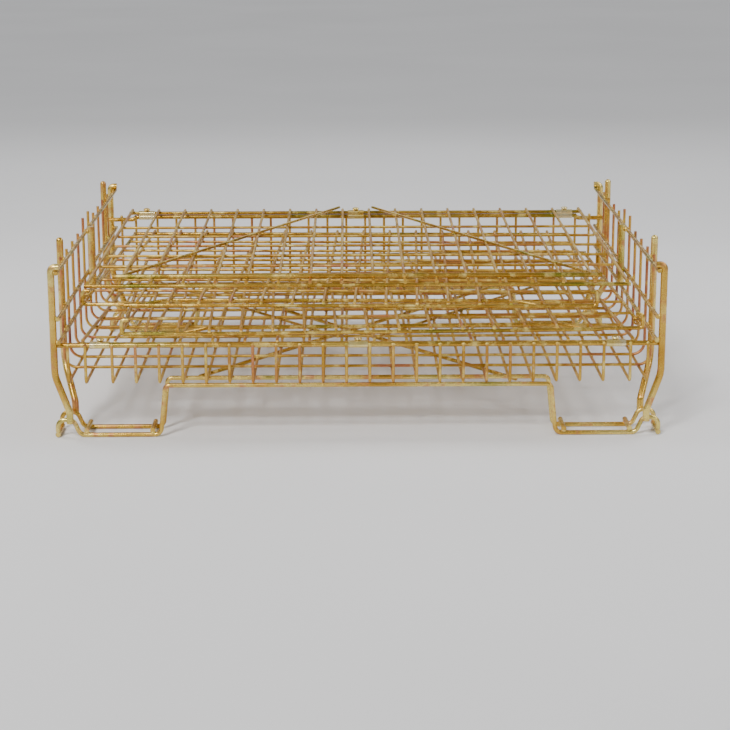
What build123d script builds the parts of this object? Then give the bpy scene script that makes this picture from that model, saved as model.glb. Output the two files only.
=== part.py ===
"""Collapsible wire mesh container, folded flat: tray, end stubs, feet, two hinged walls and two
lift-out end panels. Millimetres, +Z up, X along the container, Y from the front to the rear.
The origin is on the ground, in the middle of the footprint."""
import os
from math import asin, degrees

from build123d import *

os.makedirs("parts", exist_ok=True)

# ---- driving dimensions -------------------------------------------------------------------
LENGTH = 1200.0          # along X, over the corner posts
DEPTH = 1000.0           # along Y, over the corner posts
POST_D = 14.0            # corner, guide and middle posts
FOOT_D = 9.0             # foot bars and the span bars between them
RAIL_D = 10.0            # front and rear base rails
ROD_D = 8.0              # end rails, hinge rods and panel rods
WIRE_D = 6.0             # mesh wire
SIDE_WIRE_D = 7.0        # outermost wire of each wall
BRACE_D = 6.0            # diagonal braces of the walls
CROSS_D = 10.0           # short cross rods of the feet

POST_TOP = 351.0         # top of the corner posts above the ground
GUIDE_RISE = 27.0        # guide posts stand this much above the corner posts
GUIDE_OFFSET = 134.0     # guide post from its corner post, along Y
MIDDLE_OFFSET = 440.0    # middle post from the front corner post, along Y
STUB_BOTTOM = 218.0      # lower end of the middle posts
POST_CURL = 16.0         # inward turn at the top of a corner post
CURL_BEND = 9.0
POST_LEAN = 26.0         # posts lean inward by this much above the feet
LEAN_TOP = 128.0
LEAN_BOTTOM = 54.0
LEAN_BEND = 70.0
POST_LAP = 4.0           # posts end this much below the middle of the arch bars

FLOOR_Z = 112.0          # centre of the lower floor wires
FRONT_RAIL_Z = 186.0
REAR_HINGE_Z = 280.0
REAR_RAIL_DROP = 6.0     # the rear rail dips by this much outside its outer clips
DIP_CLEAR = 4.0          # from the end of the clip to the dip
DIP_RUN = 12.0
DIP_BEND = 8.0
MID_RAIL_Z = 242.0
HINGE_GAP = 0.4          # between a base rail and the hinge rod beside it

APRON_PITCH = 45.8       # floor wires that run front to back
APRON_MARGIN = 112.0     # corner post to the last of them at that pitch
APRON_OUTER = (26.0, 60.0)    # two more at each end, from the corner post
FLOOR_MARGIN = 108.0     # first floor wire that runs along X, from the corner post
FLOOR_COUNT = 10
BRACE_INSET = 40.0       # floor brace from the end of the span bar
END_BEND = 25.0          # floor wire turned up at the ends
APRON_BEND = 8.0         # floor wire turned up at the front and rear
SHORT_SPIKE = 6.0        # end wires stand this much above the top end rail
LONG_SPIKE = 24.0        # the two middle ones stand higher
LONG_SPIKES = (4, 5)

FOOT_LENGTH = 203.0      # corner post to the inboard leg of a foot, on the ground
LEG_SLANT = 10.5         # the leg's top stands this much further inboard
LEG_JOINT = 23.5         # from the leg's top to where the foot bar meets the span bar
FOOT_BARS_APART = 58.0
ARCH_FOOT = 44.0         # where the stacking arch starts to rise, from the corner post
ARCH_INNER = 31.0        # its inner side at the crown
ARCH_CROWN = 35.0        # centre of the bar at the top of the arch
LEG_BEND = 10.0
FOOT_BEND = 14.0
CROSS_PLACES = (187.0, 57.0)    # cross rods of a foot, from the corner post
END_GAP = 1.0            # the outer end of an arch bar stands this much above its cross rod's top

WALL_WIRES = 18          # wires that run up a wall
WALL_SIDE = 54.0         # corner post to the outermost wire of a wall
WALL_SHORT = 113.0       # a wall is this much shorter than the distance between the rails
WALL_BAR_FIRST = 205.0   # cross wires, from the hinge
WALL_BAR_PITCH = 113.0
WALL_BAR_STOP = 150.0    # none nearer than this to the top
WALL_INNER_DROP = 21.0   # inner top rod below the outer one; it lies on the upright wires
WALL_INNER_SHORT = 47.0  # and ends this much inside the outermost wires
WALL_REST = 2.5          # between the folded front wall and the floor wires
WALL_INNER_D = 10.0
WALL_ROD_OVERHANG = 8.0
BRACE_FOOT = 40.0        # brace from the wall's middle, at the hinge
BRACE_START = 2.0        # above the hinge rod's centre
BRACE_HEAD = 12.0        # the brace's head from the end of the inner top rod
BRACE_CLEAR = 3.0        # between a brace's head and that rod

CLIP_MARGIN = 88.0       # outer clips, from the corner posts; one more is in the middle
CLIP_LENGTH = 38.0
CLIP_SHEET = 1.6
CLIP_RUNNING = 0.1       # radial clearance around a hinge rod
CLIP_SEAT = 0.05         # radial clearance around a base rail
CLIP_WAIST = 1.0         # a clip is this much slimmer between its two rods
RIVET_R = 8.0
RIVET_NECK_R = 6.0
RIVET_H = 7.0
RIVET_CAP = 5.0
RIVET_TAPER = 35.0         # degrees

PANEL_OVER = 32.0        # an end panel is this much wider than the container is deep
PANEL_SHORT = 225.0      # and this much less high, so that it fits the tray
PANEL_GAP = 2.0          # between the lower end panel and the front wall's braces
PANEL_STEP = 42.0        # the middle of the top rod steps back by this much
PANEL_SEAT = 118.0       # straight end of the top rod, from the corner to the step
PANEL_STEP_RUN = 46.0
PANEL_STEP_BEND = 14.0
SEAT_LAP = 34.0          # the outer top rod runs beside each straight end for this much
PANEL_WIRE_PITCH = 62.0
PANEL_WIRES = 16
PANEL_BAR_PITCH = 108.0
PANEL_BARS = 6
HOOK_HEIGHT = 27.5
HOOK_GAP = 2.5           # between the lower panel's hooks and the upper panel
HOOK_RETURN = 14.0
HOOK_BEND = 7.0
LEFT_PANEL = (-37.0, 96.0, -1.8)    # shift along X, top rod from the front posts, turn in degrees
RIGHT_PANEL = (50.0, 31.0, 1.8)
LATCH_AT = 62.0          # latch eye, from the panel's top rod
LATCH_ROD_D = 4.0
LATCH_EYE_R = 7.0
LATCH_ARM = 14.0         # height of the arm's tip above the rod
LATCH_FOOT = 3.0         # the arm starts this far inside the rim rod, and ends at the next one
LATCH_TIP = 12.0

# ---- places worked out from them ----------------------------------------------------------
post_x = (LENGTH - POST_D) / 2
post_y = (DEPTH - POST_D) / 2
rail_y = post_y - (POST_D + RAIL_D) / 2
apron_y = rail_y + (RAIL_D + WIRE_D) / 2
foot_y = apron_y - (WIRE_D + FOOT_D) / 2
end_rail_x = post_x - (POST_D + ROD_D) / 2
end_wire_x = end_rail_x + (ROD_D + WIRE_D) / 2
middle_x = end_rail_x - (ROD_D + POST_D) / 2
long_wire_z = FLOOR_Z + WIRE_D
span_z = FLOOR_Z - (WIRE_D + FOOT_D) / 2
top_rail_z = POST_TOP - POST_D - ROD_D / 2
low_rail_z = FRONT_RAIL_Z + (RAIL_D + ROD_D) / 2
rear_rail_z = REAR_HINGE_Z - (RAIL_D + ROD_D) / 2 - HINGE_GAP
front_hinge = (-rail_y + (RAIL_D + ROD_D) / 2 + HINGE_GAP, FRONT_RAIL_Z)
rear_hinge = (rail_y, REAR_HINGE_Z)
clip_places = (-(post_x - CLIP_MARGIN), 0.0, post_x - CLIP_MARGIN)
leg_bottom = post_x - FOOT_LENGTH
leg_top = leg_bottom - LEG_SLANT
span_half = leg_top - LEG_JOINT
wall_half = post_x - WALL_SIDE
wall_pitch = 2 * wall_half / (WALL_WIRES - 1)
wall_height = 2 * rail_y - WALL_SHORT
wall_wire_w = (ROD_D + WIRE_D) / 2
wall_drop = FRONT_RAIL_Z - ROD_D / 2 - long_wire_z - WIRE_D / 2 - WALL_REST
front_wall_sag = degrees(asin(wall_drop / wall_height))
panel_width = DEPTH + PANEL_OVER
panel_height = DEPTH - PANEL_SHORT
lower_panel_z = FRONT_RAIL_Z + wall_wire_w + WIRE_D / 2 + BRACE_D + PANEL_GAP + ROD_D / 2
upper_panel_z = lower_panel_z + HOOK_HEIGHT + ROD_D + HOOK_GAP

SIDES = {"left": -1, "right": 1}
ENDS = {"front": -1, "rear": 1}


def save(name, solids):
    """Write one node. Its pieces stay separate solids."""
    export_step(Compound(children=list(solids)), f"parts/{name}.step")


def straight(start, end, diameter):
    start, end = Vector(*start), Vector(*end)
    return Solid.make_cylinder(diameter / 2, (end - start).length, Plane(start, z_dir=end - start))


def bent(points, diameter, bend):
    """A rod bent along straight runs, with one bend radius for all corners or a list of them."""
    path = FilletPolyline(*points, radius=bend)
    section = Plane(origin=path @ 0, z_dir=path % 0) * Circle(diameter / 2)
    return sweep(section, path=path).solid()


# ---- tray ---------------------------------------------------------------------------------
def apron_places():
    half_count = round((post_x - APRON_MARGIN) / APRON_PITCH)
    right = [APRON_PITCH * (k + 0.5) for k in range(half_count)]
    right += [post_x - margin for margin in sorted(APRON_OUTER, reverse=True)]
    return [-x for x in reversed(right)] + right


def floor_places():
    first = -post_y + FLOOR_MARGIN
    pitch = 2 * (post_y - FLOOR_MARGIN) / (FLOOR_COUNT - 1)
    return [first + pitch * k for k in range(FLOOR_COUNT)]


def tray():
    turn_y = apron_y - APRON_BEND - WIRE_D
    turn_x = end_wire_x - END_BEND - WIRE_D
    cross = [straight((x, -turn_y, FLOOR_Z), (x, turn_y, FLOOR_Z), WIRE_D) for x in apron_places()]
    save("floor_cross_wires", cross)
    ends = [[(x, y, long_wire_z) for x in (-turn_x, turn_x)] for y in floor_places()]
    save("floor_long_wires", [straight(*pair, WIRE_D) for pair in ends])
    for end, s in ENDS.items():
        top = FRONT_RAIL_Z if end == "front" else rear_rail_z
        wires = []
        for x in apron_places():
            run = [(x, s * apron_y, top), (x, s * apron_y, FLOOR_Z), (x, s * turn_y, FLOOR_Z)]
            wires.append(bent(run, WIRE_D, APRON_BEND))
        save(f"{end}_apron_wires", wires)
    for side, s in SIDES.items():
        wires = []
        for k, y in enumerate(floor_places()):
            spike = LONG_SPIKE if k in LONG_SPIKES else SHORT_SPIKE
            top = top_rail_z + ROD_D / 2 + spike
            run = [(s * end_wire_x, y, top), (s * end_wire_x, y, long_wire_z), (s * turn_x, y, long_wire_z)]
            wires.append(bent(run, WIRE_D, END_BEND))
        save(f"{side}_end_wires", wires)


def floor_braces():
    """Two diagonals under the floor, one below the other where they cross."""
    reach_x = span_half - BRACE_INSET
    reach_y = foot_y - FOOT_BARS_APART - FOOT_D
    for name, s, drop in (("upper_floor_brace", 1, 0), ("lower_floor_brace", -1, 1)):
        z = FLOOR_Z - (WIRE_D + ROD_D) / 2 - drop * ROD_D
        save(name, [straight((-s * reach_x, -reach_y, z), (s * reach_x, reach_y, z), ROD_D)])


# ---- rails, posts and end stubs -----------------------------------------------------------
def rails():
    ends = [(x, -rail_y, FRONT_RAIL_Z) for x in (-LENGTH / 2, LENGTH / 2)]
    save("front_rail", [straight(*ends, RAIL_D)])
    step = clip_places[-1] + CLIP_LENGTH / 2 + DIP_CLEAR
    low = rear_rail_z - REAR_RAIL_DROP
    run = [(-LENGTH / 2, rail_y, low), (-step - DIP_RUN, rail_y, low), (-step, rail_y, rear_rail_z)]
    run += [(-x, y, z) for x, y, z in reversed(run)]
    save("rear_rail", [bent(run, RAIL_D, DIP_BEND)])


def end_rails():
    for side, s in SIDES.items():
        for name, z in (("top", top_rail_z), ("middle", MID_RAIL_Z), ("low", low_rail_z)):
            x = s * end_rail_x
            save(f"{side}_{name}_rail", [straight((x, -DEPTH / 2, z), (x, DEPTH / 2, z), ROD_D)])


def posts():
    arch_x = post_x - POST_LEAN
    foot_end = ARCH_CROWN - POST_LAP
    curl_z = POST_TOP - POST_D / 2
    for side, s in SIDES.items():
        guides = []
        for end, e in ENDS.items():
            y = e * post_y
            run = [(post_x - POST_CURL, y, curl_z), (post_x, y, curl_z), (post_x, y, LEAN_TOP)]
            run += [(arch_x, y, LEAN_BOTTOM), (arch_x, y, foot_end)]
            bends = [CURL_BEND, LEAN_BEND, CURL_BEND]
            save(f"{end}_{side}_corner_post", [bent([(s * x, py, z) for x, py, z in run], POST_D, bends)])
            guide_y = e * (post_y - GUIDE_OFFSET)
            land_y = e * (foot_y - FOOT_BARS_APART - (POST_D + FOOT_D) / 2)
            run = [(post_x, guide_y, POST_TOP + GUIDE_RISE - POST_D / 2), (post_x, guide_y, LEAN_TOP)]
            run += [(arch_x, land_y, LEAN_BOTTOM), (arch_x, land_y, foot_end)]
            rod = bent([(s * x, py, z) for x, py, z in run], POST_D, [LEAN_BEND, CURL_BEND])
            dome = Pos(s * post_x, guide_y, POST_TOP + GUIDE_RISE - POST_D / 2) * Sphere(POST_D / 2)
            guides.append((rod + dome).solid())
        save(f"{side}_guide_posts", guides)
        y = -post_y + MIDDLE_OFFSET
        x = s * middle_x
        save(f"{side}_middle_post", [straight((x, y, STUB_BOTTOM), (x, y, POST_TOP - POST_D / 2), POST_D)])


# ---- feet ---------------------------------------------------------------------------------
def foot_bars():
    r = FOOT_D / 2
    arch_end = CROSS_D + END_GAP
    for end, e in ENDS.items():
        lines = (e * foot_y, e * (foot_y - FOOT_BARS_APART))
        ends = [[(x, y, span_z) for x in (-span_half, span_half)] for y in lines]
        save(f"{end}_span_bars", [straight(*pair, FOOT_D) for pair in ends])
        for side, s in SIDES.items():
            run = [(span_half, span_z), (leg_top, span_z), (leg_bottom, r), (post_x - ARCH_FOOT, r)]
            run += [(post_x - ARCH_INNER, ARCH_CROWN), (post_x, ARCH_CROWN), (post_x, arch_end)]
            bends = [LEG_BEND] + [FOOT_BEND] * (len(run) - 3)
            bars = [bent([(s * x, y, z) for x, z in run], FOOT_D, bends) for y in lines]
            save(f"{end}_{side}_foot_bars", bars)
            near, far = lines[0] + e * r, lines[1] - e * r
            spots = [(post_x - x, FOOT_D + CROSS_D / 2) for x in CROSS_PLACES]
            spots.append((post_x, arch_end - CROSS_D / 2))
            rods = [straight((s * x, near, z), (s * x, far, z), CROSS_D) for x, z in spots]
            save(f"{end}_{side}_foot_cross_rods", rods)


# ---- hinge clips --------------------------------------------------------------------------
def clips():
    """Sheet sleeves that wrap a base rail and let the hinge rod beside it turn."""
    for end, (hy, hz), (ry, rz) in (
        ("front", front_hinge, (-rail_y, FRONT_RAIL_Z)),
        ("rear", rear_hinge, (rail_y, rear_rail_z)),
    ):
        rod_r = ROD_D / 2 + CLIP_RUNNING
        rail_r = RAIL_D / 2 + CLIP_SEAT
        turn = Vector(hy - ry, hz - rz).get_angle(Vector(1, 0))
        middle = Location(((hy + ry) / 2, (hz + rz) / 2), turn)
        span = ((hy - ry) ** 2 + (hz - rz) ** 2) ** 0.5
        outline = Pos(hy, hz) * Circle(rod_r + CLIP_SHEET) + Pos(ry, rz) * Circle(rail_r + CLIP_SHEET)
        outline += middle * Rectangle(span, 2 * (rod_r + CLIP_SHEET) - CLIP_WAIST)
        outline -= Pos(hy, hz) * Circle(rod_r)
        outline -= Pos(ry, rz) * Circle(rail_r)
        sleeves, rivets = [], []
        for x in clip_places:
            plane = Plane(origin=(x - CLIP_LENGTH / 2, 0, 0), x_dir=(0, 1, 0), z_dir=(1, 0, 0))
            sleeves.append(extrude(plane * outline, CLIP_LENGTH).solid())
            rivets.append(rivet(x, hy, hz + rod_r + CLIP_SHEET))
        save(f"{end}_hinge_clips", sleeves)
        save(f"{end}_clip_rivets", rivets)


def rivet(x, y, z):
    """A domed head that stands on the rounded back of a clip."""
    neck = Pos(x, y, z) * extrude(Circle(RIVET_NECK_R), RIVET_H - RIVET_CAP)
    cap = Pos(x, y, z + RIVET_H - RIVET_CAP) * extrude(Circle(RIVET_R), RIVET_CAP, taper=RIVET_TAPER)
    return (neck + cap).solid()


# ---- hinged walls -------------------------------------------------------------------------
def wall(name, place):
    """A welded mesh wall. Built with its hinge rod on X and its height along +Y, then placed."""
    half_rod = wall_half + WALL_ROD_OVERHANG
    wire_end = wall_height + ROD_D / 2
    inner_half = wall_half - WALL_INNER_SHORT
    inner_v = wall_height - WALL_INNER_DROP
    upright, edges = [], []
    for k in range(WALL_WIRES):
        x = -wall_half + wall_pitch * k
        if k in (0, WALL_WIRES - 1):
            w = (ROD_D + SIDE_WIRE_D) / 2
            edges.append(straight((x, 0, w), (x, wire_end, w), SIDE_WIRE_D))
        else:
            upright.append(straight((x, 0, wall_wire_w), (x, wire_end, wall_wire_w), WIRE_D))
    bar_w = wall_wire_w - WIRE_D
    count = int((wall_height - WALL_BAR_FIRST - WALL_BAR_STOP) / WALL_BAR_PITCH) + 1
    rows = [WALL_BAR_FIRST + WALL_BAR_PITCH * k for k in range(count)]
    bars = [straight((-wall_half, v, bar_w), (wall_half, v, bar_w), WIRE_D) for v in rows]
    inner_w = wall_wire_w + (WIRE_D + WALL_INNER_D) / 2
    rods = [straight((-half_rod, wall_height, 0), (half_rod, wall_height, 0), ROD_D)]
    ends = [(x, inner_v, inner_w) for x in (-inner_half, inner_half)]
    rods.append(straight(*ends, WALL_INNER_D))
    brace_w = wall_wire_w + (WIRE_D + BRACE_D) / 2
    head_x = inner_half - BRACE_HEAD
    head_v = inner_v - (WALL_INNER_D + BRACE_D) / 2 - BRACE_CLEAR
    braces = []
    for s in (-1, 1):
        ends = [(s * BRACE_FOOT, BRACE_START, brace_w), (s * head_x, head_v, brace_w)]
        braces.append(straight(*ends, BRACE_D))
    hinge = straight((-half_rod, 0, 0), (half_rod, 0, 0), ROD_D)
    pieces = {"hinge_rod": [hinge], "top_rods": rods, "upright_wires": upright + edges}
    pieces |= {"cross_wires": bars, "braces": braces}
    for part, solids in pieces.items():
        save(f"{name}_{part}", [place * solid for solid in solids])


def walls():
    wall("rear_wall", Pos(0, *rear_hinge) * Rot(0, 0, 180))
    wall("front_wall", Pos(0, *front_hinge) * Rot(-front_wall_sag, 0, 0))


# ---- lift-out end panels ------------------------------------------------------------------
def end_panel(name, place, latch_side):
    """An end panel. Built flat, top rod along X through the origin, height along +Y, then placed."""
    half = (panel_width - ROD_D) / 2
    step = half - PANEL_SEAT
    run = [(HOOK_RETURN - half, 0, HOOK_HEIGHT), (-half, 0, HOOK_HEIGHT), (-half, 0, 0)]
    run += [(-step, 0, 0), (-step + PANEL_STEP_RUN, PANEL_STEP, 0)]
    run += [(-x, y, z) for x, y, z in reversed(run)]
    bends = [HOOK_BEND, HOOK_BEND, PANEL_STEP_BEND, PANEL_STEP_BEND]
    save(f"{name}_top_rod", [place * bent(run, ROD_D, bends + bends[::-1])])
    lap = step + SEAT_LAP
    save(f"{name}_outer_top_rod", [place * straight((-lap, -ROD_D, 0), (lap, -ROD_D, 0), ROD_D)])

    rod_r = ROD_D / 2
    rim = [straight((x, rod_r, 0), (x, panel_height - rod_r, 0), ROD_D) for x in (-half, half)]
    rim.append(straight((-half - rod_r, panel_height, 0), (half + rod_r, panel_height, 0), ROD_D))
    save(f"{name}_rim_rods", [place * rod for rod in rim])

    wire_w = (ROD_D + WIRE_D) / 2
    first = -PANEL_WIRE_PITCH * (PANEL_WIRES - 1) / 2
    wires = []
    for k in range(PANEL_WIRES):
        x = first + PANEL_WIRE_PITCH * k
        start = -ROD_D if abs(x) < step else 0
        wires.append(straight((x, start, wire_w), (x, panel_height, wire_w), WIRE_D))
    save(f"{name}_upright_wires", [place * wire for wire in wires])
    bar_w = wire_w - WIRE_D
    reach = half - ROD_D / 2
    rows = [panel_height - PANEL_BAR_PITCH * (k + 1) for k in range(PANEL_BARS)]
    bars = [straight((-reach, v, bar_w), (reach, v, bar_w), WIRE_D) for v in rows]
    save(f"{name}_cross_wires", [place * bar for bar in bars])

    ring = Pos(latch_side * half, LATCH_AT, 0) * Rot(90, 0, 0) * Torus(LATCH_EYE_R, LATCH_ROD_D / 2)
    foot = (latch_side * (half - LATCH_FOOT), LATCH_AT, LATCH_EYE_R)
    tip = (latch_side * (half - LATCH_TIP), LATCH_AT, LATCH_ARM)
    arm = straight(foot, tip, LATCH_ROD_D)
    save(f"{name}_latch", [place * (ring + arm).solid()])


def end_panels():
    for name, (x, inward, turn), z, latch_side in (
        ("left_panel", LEFT_PANEL, upper_panel_z, -1),
        ("right_panel", RIGHT_PANEL, lower_panel_z, 1),
    ):
        end_panel(name, Pos(x, inward - post_y, z) * Rot(0, 0, turn), latch_side)


tray()
floor_braces()
rails()
end_rails()
posts()
foot_bars()
clips()
walls()
end_panels()
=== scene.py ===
"""Looks of the folded wire mesh container: zinc materials, weld beads, rivet heads, stage, light."""
from math import cos, pi, radians, sin

import bmesh
import bpy
import numpy as np
from mathutils import Matrix, Vector


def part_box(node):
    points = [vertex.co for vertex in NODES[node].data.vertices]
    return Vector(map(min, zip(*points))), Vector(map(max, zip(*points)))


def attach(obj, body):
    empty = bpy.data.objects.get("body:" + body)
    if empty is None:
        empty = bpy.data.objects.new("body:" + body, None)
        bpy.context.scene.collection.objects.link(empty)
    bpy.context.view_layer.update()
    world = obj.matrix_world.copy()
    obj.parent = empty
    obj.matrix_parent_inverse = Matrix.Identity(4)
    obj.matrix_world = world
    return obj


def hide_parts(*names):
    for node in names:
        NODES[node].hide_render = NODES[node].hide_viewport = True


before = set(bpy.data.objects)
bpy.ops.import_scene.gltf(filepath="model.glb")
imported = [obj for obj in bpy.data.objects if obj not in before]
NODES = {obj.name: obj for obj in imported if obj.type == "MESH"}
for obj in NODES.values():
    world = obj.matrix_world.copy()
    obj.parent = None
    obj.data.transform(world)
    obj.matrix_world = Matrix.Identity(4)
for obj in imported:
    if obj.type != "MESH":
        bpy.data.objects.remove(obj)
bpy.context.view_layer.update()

# ---- camera -------------------------------------------------------------------------------
LENS_MM = 96.25
SENSOR_MM = 36.0
CAMERA_PLACE = (-0.0184, -4.190, 1.090)
CAMERA_DOWN = 14.31         # degrees below the horizon
CAMERA_RIGHT = 0.49
CAMERA_ROLL = 0.15

# ---- finish -------------------------------------------------------------------------------
# Yellow chromate over zinc runs from straw through gold to rose and green.
STRAW = (0.72, 0.46, 0.08)
GOLD = (0.52, 0.28, 0.03)
OLIVE = (0.34, 0.30, 0.03)
ROSE = (0.60, 0.24, 0.10)
PLUM = (0.28, 0.09, 0.06)
PALE = (0.90, 0.72, 0.22)
SILVER = (0.86, 0.84, 0.72)


# ---- weld beads ---------------------------------------------------------------------------
WELD_REACH = 0.0006         # rods this near to each other are welded where they cross
WELD_SPREAD = 1.28          # bead half width, as a share of the thinner rod's radius
WELD_FLAT = 0.80            # bead half height, likewise

ROD_RADIUS_MAX = 0.0075     # a piece wider than this about its axis is bent, not a straight rod
ROD_LENGTH_MIN = 0.05
PARALLEL = 0.05             # squared sine under which two rods count as parallel
END_SLACK = 0.001           # share of a rod's length that a crossing may lie past its end
TOP_BAND = 0.03             # height of the stretch that gives a post's place and radius
CAP_BAND = 0.02             # height of its bent or domed end

RIVET_STEPS = 28            # facets round a rivet head
FLOOR_SIZE = 400.0          # metres
FLOOR_DARK = (0.74, 0.74, 0.75)
FLOOR_LIGHT = (0.77, 0.77, 0.78)


# ===========================================================================================
# Materials
# ===========================================================================================
class Graph:
    """Short names for building a node tree."""

    def __init__(self, name):
        self.material = bpy.data.materials.new(name)
        self.material.use_nodes = True
        self.tree = self.material.node_tree
        self.tree.nodes.clear()
        self.shader = self.add("ShaderNodeBsdfPrincipled")
        out = self.add("ShaderNodeOutputMaterial")
        self.join(self.shader.outputs["BSDF"], out.inputs["Surface"])

    def add(self, kind, **settings):
        node = self.tree.nodes.new(kind)
        for key, value in settings.items():
            setattr(node, key, value)
        return node

    def join(self, source, target):
        self.tree.links.new(source, target)

    def noise(self, scale, detail=2.0, stretch=(1, 1, 1), shift=0.0, rough=0.5):
        """Noise over object space, stretched, as its value output."""
        place = self.add("ShaderNodeTexCoord")
        mapping = self.add("ShaderNodeMapping")
        mapping.inputs["Scale"].default_value = stretch
        mapping.inputs["Location"].default_value = (shift, shift * 0.7, -shift * 0.4)
        self.join(place.outputs["Object"], mapping.inputs["Vector"])
        node = self.add("ShaderNodeTexNoise")
        node.inputs["Scale"].default_value = scale
        node.inputs["Detail"].default_value = detail
        node.inputs["Roughness"].default_value = rough
        self.join(mapping.outputs["Vector"], node.inputs["Vector"])
        return node.outputs["Fac"]

    def ramp(self, value, stops):
        node = self.add("ShaderNodeValToRGB")
        points = node.color_ramp.elements
        while len(points) < len(stops):
            points.new(0.5)
        for point, (position, color) in zip(points, stops):
            point.position = position
            point.color = (*color, 1)
        self.join(value, node.inputs["Fac"])
        return node.outputs["Color"]

    def mix(self, amount, first, second, how="MIX"):
        node = self.add("ShaderNodeMix", data_type="RGBA", blend_type=how)
        self.join(amount, node.inputs["Factor"])
        self.join(first, node.inputs[6])
        self.join(second, node.inputs[7])
        return node.outputs[2]

    def spread(self, value, low, high, source_low=0.3, source_high=0.7):
        node = self.add("ShaderNodeMapRange")
        node.inputs["From Min"].default_value = source_low
        node.inputs["From Max"].default_value = source_high
        node.inputs["To Min"].default_value = low
        node.inputs["To Max"].default_value = high
        self.join(value, node.inputs["Value"])
        return node.outputs["Result"]

    def bump(self, value, strength, distance):
        node = self.add("ShaderNodeBump")
        node.inputs["Strength"].default_value = strength
        node.inputs["Distance"].default_value = distance
        self.join(value, node.inputs["Height"])
        self.join(node.outputs["Normal"], self.shader.inputs["Normal"])


def zinc(name, stops, blush, shift, rough=(0.26, 0.46)):
    """Chromated zinc: drifting tints along the wire, small spots of the blush tint, dull patches."""
    g = Graph(name)
    drift = g.noise(7.0, 3.0, shift=shift)
    tint = g.ramp(drift, stops)
    spots = g.noise(38.0, 4.0, shift=shift + 3.0, rough=0.6)
    mask = g.spread(spots, 0.0, 0.85, 0.52, 0.66)
    blush_tint = g.ramp(spots, [(0.0, blush), (1.0, blush)])
    color = g.mix(mask, tint, blush_tint)
    fine = g.noise(420.0, 3.0, shift=shift + 7.0, rough=0.65)
    shade = g.ramp(fine, [(0.30, (0.52, 0.48, 0.42)), (0.62, (1.0, 1.0, 1.0))])
    full = g.add("ShaderNodeMix", data_type="RGBA", blend_type="MULTIPLY")
    full.inputs["Factor"].default_value = 0.7
    g.join(color, full.inputs[6])
    g.join(shade, full.inputs[7])
    g.join(full.outputs[2], g.shader.inputs["Base Color"])
    g.join(g.spread(spots, rough[0], rough[1]), g.shader.inputs["Roughness"])
    g.shader.inputs["Metallic"].default_value = 0.80
    g.shader.inputs["Specular IOR Level"].default_value = 0.6
    g.bump(fine, 0.25, 0.0003)
    return g.material


def materials():
    wire = [(0.30, ROSE), (0.45, GOLD), (0.58, STRAW), (0.72, ROSE)]
    rod = [(0.30, OLIVE), (0.45, GOLD), (0.60, STRAW), (0.74, OLIVE)]
    post = [(0.30, GOLD), (0.46, STRAW), (0.60, PALE), (0.74, OLIVE)]
    side = [(0.30, PLUM), (0.46, ROSE), (0.60, STRAW), (0.74, PLUM)]
    weld = [(0.30, OLIVE), (0.50, PALE), (0.70, GOLD)]
    clip = [(0.30, SILVER), (0.50, PALE), (0.70, SILVER)]
    return {
        "wire": zinc("zinc_wire", wire, PALE, 0.0),
        "rod": zinc("zinc_rod", rod, PALE, 11.0, (0.16, 0.34)),
        "post": zinc("zinc_post", post, ROSE, 23.0, (0.18, 0.36)),
        "side": zinc("zinc_side_wire", side, STRAW, 37.0),
        "weld": zinc("zinc_weld", weld, PLUM, 53.0, (0.38, 0.62)),
        "clip": zinc("zinc_clip", clip, STRAW, 71.0, (0.14, 0.30)),
    }


def finish_of(node):
    """Which material a node gets."""
    if "clip" in node:
        return "clip"
    if "end_wires" in node:
        return "side"
    if "wires" in node:
        return "wire"
    if "post" in node or "foot" in node or "span" in node:
        return "post"
    return "rod"


def dress(palette):
    for name, node in NODES.items():
        node.data.materials.clear()
        node.data.materials.append(palette[finish_of(name)])


# ===========================================================================================
# Rods and their crossings, read from the frame
# ===========================================================================================
def pieces_of(node):
    """The separate solids of a node, each as an array of its points."""
    mesh = NODES[node].data
    points = np.array([tuple(v.co) for v in mesh.vertices])
    keys = {}
    group = [keys.setdefault(tuple(row), len(keys)) for row in np.round(points, 6).tolist()]
    parent = list(range(len(keys)))

    def root(i):
        while parent[i] != i:
            parent[i] = parent[parent[i]]
            i = parent[i]
        return i

    for edge in mesh.edges:
        a, b = (root(group[v]) for v in edge.vertices)
        parent[a] = b
    members = {}
    for index, key in enumerate(group):
        members.setdefault(root(key), []).append(index)
    return [points[indices] for indices in members.values()]


def rod_of(points):
    """Start, end and radius of a straight rod, or None where the piece is bent."""
    middle = (points.max(axis=0) + points.min(axis=0)) / 2
    _, _, axes = np.linalg.svd(points - points.mean(axis=0), full_matrices=False)
    axis = axes[0]
    along = (points - middle) @ axis
    away = points - middle - np.outer(along, axis)
    radius = np.linalg.norm(away, axis=1).max()
    if radius > ROD_RADIUS_MAX or np.ptp(along) < ROD_LENGTH_MIN:
        return None
    return middle + axis * along.min(), middle + axis * along.max(), radius


def rods(*names):
    found = [rod_of(points) for name in names for points in pieces_of(name)]
    return [rod for rod in found if rod]


def crossing(first, second):
    """Where two rods touch side by side: the point between them, or None."""
    (a, b, r1), (c, d, r2) = first, second
    u, v, w = b - a, d - c, a - c
    uu, uv, vv, uw, vw = u @ u, u @ v, v @ v, u @ w, v @ w
    spread = uu * vv - uv * uv
    if spread < PARALLEL * uu * vv:
        return None
    s, t = (uv * vw - vv * uw) / spread, (uu * vw - uv * uw) / spread
    if not all(-END_SLACK < share < 1 + END_SLACK for share in (s, t)):
        return None
    p, q = a + u * s, c + v * t
    gap = np.linalg.norm(p - q)
    if abs(gap - r1 - r2) > WELD_REACH:
        return None
    n = (q - p) / gap
    return p + n * r1, n, u / np.linalg.norm(u), min(r1, r2)


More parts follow.
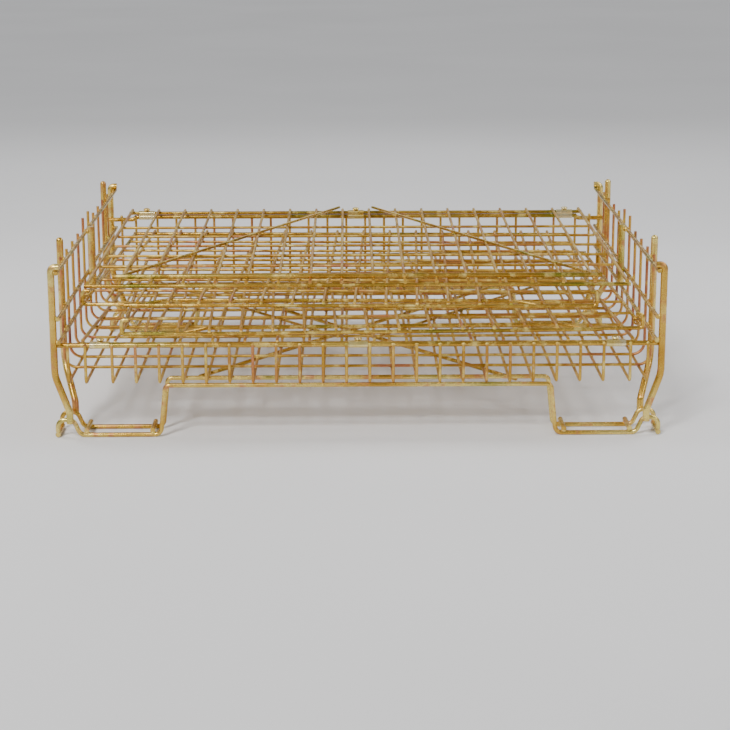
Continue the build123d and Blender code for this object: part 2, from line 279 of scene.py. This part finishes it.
def bead(mesh, place, normal, along, radius, wobble):
    """One squeezed-out weld bead, flattened along the normal between the two rods."""
    side = np.cross(normal, along)
    wide = radius * WELD_SPREAD
    frame_axes = Matrix((
        (*(along * wide * (1 + wobble)),),
        (*(side * wide * (1 - wobble)),),
        (*(normal * radius * WELD_FLAT),),
    )).transposed().to_4x4()
    bmesh.ops.create_icosphere(
        mesh, subdivisions=2, radius=1.0, matrix=Matrix.Translation(Vector(place)) @ frame_axes
    )


def welds(name, body, groups, material):
    """Beads at every crossing of the first group's rods with the second group's, for each pair."""
    mesh = bmesh.new()
    for first, second in groups:
        for i, one in enumerate(first):
            for j, other in enumerate(second):
                hit = crossing(one, other)
                if hit:
                    bead(mesh, *hit, 0.12 * sin(i * 12.9 + j * 7.3))
    data = bpy.data.meshes.new(name)
    mesh.to_mesh(data)
    mesh.free()
    for face in data.polygons:
        face.use_smooth = True
    data.materials.append(material)
    piece = bpy.data.objects.new(name, data)
    bpy.context.scene.collection.objects.link(piece)
    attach(piece, body)
    return piece


def uprights(node, box_side):
    """Straight upper stretch of each bent wire in a node, as rods that stand upright."""
    found = []
    for points in pieces_of(node):
        low, high = points.min(axis=0), points.max(axis=0)
        tops = points[points[:, 2] > high[2] - 0.0005]
        if len(tops) < 3:
            continue
        middle = (tops.max(axis=0) + tops.min(axis=0)) / 2
        radius = np.ptp(tops[:, box_side]) / 2
        found.append((np.array([middle[0], middle[1], low[2]]), middle, radius))
    return found


def tray_welds(material):
    cross = rods("floor_cross_wires")
    long_wires = rods("floor_long_wires")
    pairs = [(cross, long_wires)]
    for end in ("front", "rear"):
        wires = uprights(f"{end}_apron_wires", 0)
        pairs.append((wires, rods("front_rail") if end == "front" else straight_middle("rear_rail")))
    for side in ("left", "right"):
        wires = uprights(f"{side}_end_wires", 1)
        rails = rods(f"{side}_top_rail", f"{side}_middle_rail", f"{side}_low_rail")
        pairs.append((wires, rails))
        posts = uprights_of_posts(side)
        pairs.append((posts, rails))
    for end in ("front", "rear"):
        for side in ("left", "right"):
            pairs.append((rods(f"{end}_{side}_foot_cross_rods"), foot_runs(f"{end}_{side}_foot_bars")))
    welds("tray_welds", "base", pairs, material)


def straight_middle(node):
    """A rod with dipped ends, taken as its straight middle."""
    low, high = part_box(node)
    radius = (high[1] - low[1]) / 2
    z = high[2] - radius
    y = (low[1] + high[1]) / 2
    return [(np.array([low[0], y, z]), np.array([high[0], y, z]), radius)]


def foot_runs(node):
    """The two level runs of a foot, on the ground."""
    found = []
    for points in pieces_of(node):
        low, high = points.min(axis=0), points.max(axis=0)
        radius = (high[1] - low[1]) / 2
        y = (low[1] + high[1]) / 2
        found.append((np.array([low[0], y, radius]), np.array([high[0], y, radius]), radius))
    return found


def uprights_of_posts(side):
    names = [f"front_{side}_corner_post", f"rear_{side}_corner_post"]
    names += [f"{side}_guide_posts", f"{side}_middle_post"]
    found = []
    for name in names:
        for points in pieces_of(name):
            low, high = points.min(axis=0), points.max(axis=0)
            top = points[points[:, 2] > high[2] - TOP_BAND]
            radius = np.ptp(top[:, 1]) / 2
            sign = -1 if side == "left" else 1
            shaft = points[points[:, 2] < high[2] - CAP_BAND]
            x = sign * (abs(shaft[:, 0]).max() - radius)
            y = (top[:, 1].max() + top[:, 1].min()) / 2
            found.append((np.array([x, y, low[2] + 0.05]), np.array([x, y, high[2]]), radius))
    return found


def wall_welds(wall, material):
    up = rods(f"{wall}_upright_wires")
    pairs = [
        (up, rods(f"{wall}_cross_wires")),
        (up, rods(f"{wall}_top_rods")),
        (up, rods(f"{wall}_hinge_rod")),
        (rods(f"{wall}_braces"), up),
    ]
    welds(f"{wall}_welds", wall, pairs, material)


def panel_welds(panel, body, material):
    up = rods(f"{panel}_upright_wires")
    rim = rods(f"{panel}_rim_rods")
    outer = rods(f"{panel}_outer_top_rod")
    top = top_stretch(f"{panel}_top_rod", outer[0])
    pairs = [(up, rods(f"{panel}_cross_wires")), (up, rim), (up, outer), (up, top)]
    welds(f"{panel}_welds", body, pairs, material)


def top_stretch(node, beside):
    """The straight middle of a panel's bent top rod, level with the straight rod beside it."""
    start, end, radius = beside
    along = (end - start) / np.linalg.norm(end - start)
    back = np.cross((0, 0, 1), along)
    back *= np.sign(back[1])
    points = np.concatenate(pieces_of(node))
    depth = points @ back
    far = points[depth > depth.max() - 2 * radius]
    line = back * (depth.max() - radius) + np.array([0, 0, start[2]])
    return [(line + along * (far @ along).min(), line + along * (far @ along).max(), radius)]


# ===========================================================================================
# Rivet heads
# ===========================================================================================
def rivet_heads(end, material):
    """Turned rivet heads: a short neck, a rounded rim and a crowned top."""
    node = f"{end}_clip_rivets"
    mesh = bmesh.new()
    for points in sorted(pieces_of(node), key=lambda p: p[:, 0].min()):
        low, high = points.min(axis=0), points.max(axis=0)
        middle = (low + high) / 2
        wide, tall = (high[0] - low[0]) / 2, high[2] - low[2]
        profile = [(0.72, 0.0), (0.72, 0.22), (0.93, 0.27), (1.0, 0.36), (0.985, 0.48)]
        profile += [(0.97 * cos(t), 0.50 + 0.50 * sin(t)) for t in np.linspace(0.12, pi / 2 - 0.08, 9)]
        rings = []
        for across, up in profile:
            ring = []
            for k in range(RIVET_STEPS):
                turn = 2 * pi * k / RIVET_STEPS
                place = (
                    middle[0] + wide * across * cos(turn),
                    middle[1] + wide * across * sin(turn),
                    low[2] + tall * up,
                )
                ring.append(mesh.verts.new(place))
            rings.append(ring)
        for lower, upper in zip(rings, rings[1:]):
            for k in range(RIVET_STEPS):
                n = (k + 1) % RIVET_STEPS
                mesh.faces.new((lower[k], lower[n], upper[n], upper[k]))
        mesh.faces.new(list(reversed(rings[0])))
        mesh.faces.new(rings[-1])
    name = f"{end}_rivet_heads"
    data = bpy.data.meshes.new(name)
    mesh.to_mesh(data)
    mesh.free()
    for face in data.polygons:
        face.use_smooth = True
    data.materials.append(material)
    piece = bpy.data.objects.new(name, data)
    bpy.context.scene.collection.objects.link(piece)
    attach(piece, "base")
    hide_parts(node)


# ===========================================================================================
# Stage
# ===========================================================================================
def camera():
    data = bpy.data.cameras.new("camera")
    data.lens = LENS_MM
    data.sensor_width = SENSOR_MM
    data.clip_end = FLOOR_SIZE
    eye = bpy.data.objects.new("camera", data)
    eye.location = CAMERA_PLACE
    aim = Matrix.Rotation(radians(-CAMERA_RIGHT), 4, "Z")
    tilt = Matrix.Rotation(radians(90 - CAMERA_DOWN), 4, "X")
    roll = Matrix.Rotation(radians(-CAMERA_ROLL), 4, "Z")
    eye.rotation_euler = (aim @ tilt @ roll).to_euler()
    bpy.context.scene.collection.objects.link(eye)
    bpy.context.scene.camera = eye


def floor():
    bpy.ops.mesh.primitive_plane_add(size=FLOOR_SIZE, location=(0, 0, 0))
    plane = bpy.context.object
    plane.name = "floor"
    g = Graph("floor_paint")
    cloud = g.noise(0.8, 3.0)
    paint = g.ramp(cloud, [(0.35, FLOOR_DARK), (0.65, FLOOR_LIGHT)])
    g.join(paint, g.shader.inputs["Base Color"])
    g.shader.inputs["Roughness"].default_value = 0.95
    plane.data.materials.append(g.material)


def lamp(name, place, aim, size, power, tint=(1, 1, 1)):
    data = bpy.data.lights.new(name, "AREA")
    data.shape = "RECTANGLE"
    data.size, data.size_y = size
    data.energy = power
    data.color = tint
    light = bpy.data.objects.new(name, data)
    light.location = place
    light.rotation_euler = (Vector(aim) - Vector(place)).to_track_quat("-Z", "Y").to_euler()
    bpy.context.scene.collection.objects.link(light)


def sun(turn, power, spread):
    """Soft, even daylight over the whole floor."""
    data = bpy.data.lights.new("sun", "SUN")
    data.energy = power
    data.angle = radians(spread)
    light = bpy.data.objects.new("sun", data)
    light.rotation_euler = [radians(angle) for angle in turn]
    bpy.context.scene.collection.objects.link(light)


def light():
    world = bpy.data.worlds.new("studio")
    world.use_nodes = True
    back = world.node_tree.nodes["Background"]
    back.inputs["Color"].default_value = (0.80, 0.81, 0.83, 1)
    back.inputs["Strength"].default_value = 0.26
    bpy.context.scene.world = world
    sun((38, -24, 0), 2.0, 12)
    lamp("key", (-1.6, -3.2, 2.6), (0, 0, 0.2), (1.2, 0.8), 55, (1.0, 0.98, 0.95))
    lamp("fill", (2.8, -2.2, 1.6), (0, 0, 0.2), (1.0, 1.0), 22)
    lamp("left_top", (-2.0, 0.3, 2.2), (0, 0, 0.2), (1.2, 1.8), 34, (1.0, 0.98, 0.94))
    lamp("right_top", (2.0, 0.3, 2.2), (0, 0, 0.2), (1.2, 1.8), 34)
    lamp("back", (0, 3.6, 2.0), (0, 0, 0.3), (3.6, 1.0), 22)


camera()
palette = materials()
dress(palette)
tray_welds(palette["weld"])
wall_welds("rear_wall", palette["weld"])
wall_welds("front_wall", palette["weld"])
panel_welds("left_panel", "left_end_panel", palette["weld"])
panel_welds("right_panel", "right_end_panel", palette["weld"])
rivet_heads("front", palette["clip"])
rivet_heads("rear", palette["clip"])
floor()
light()
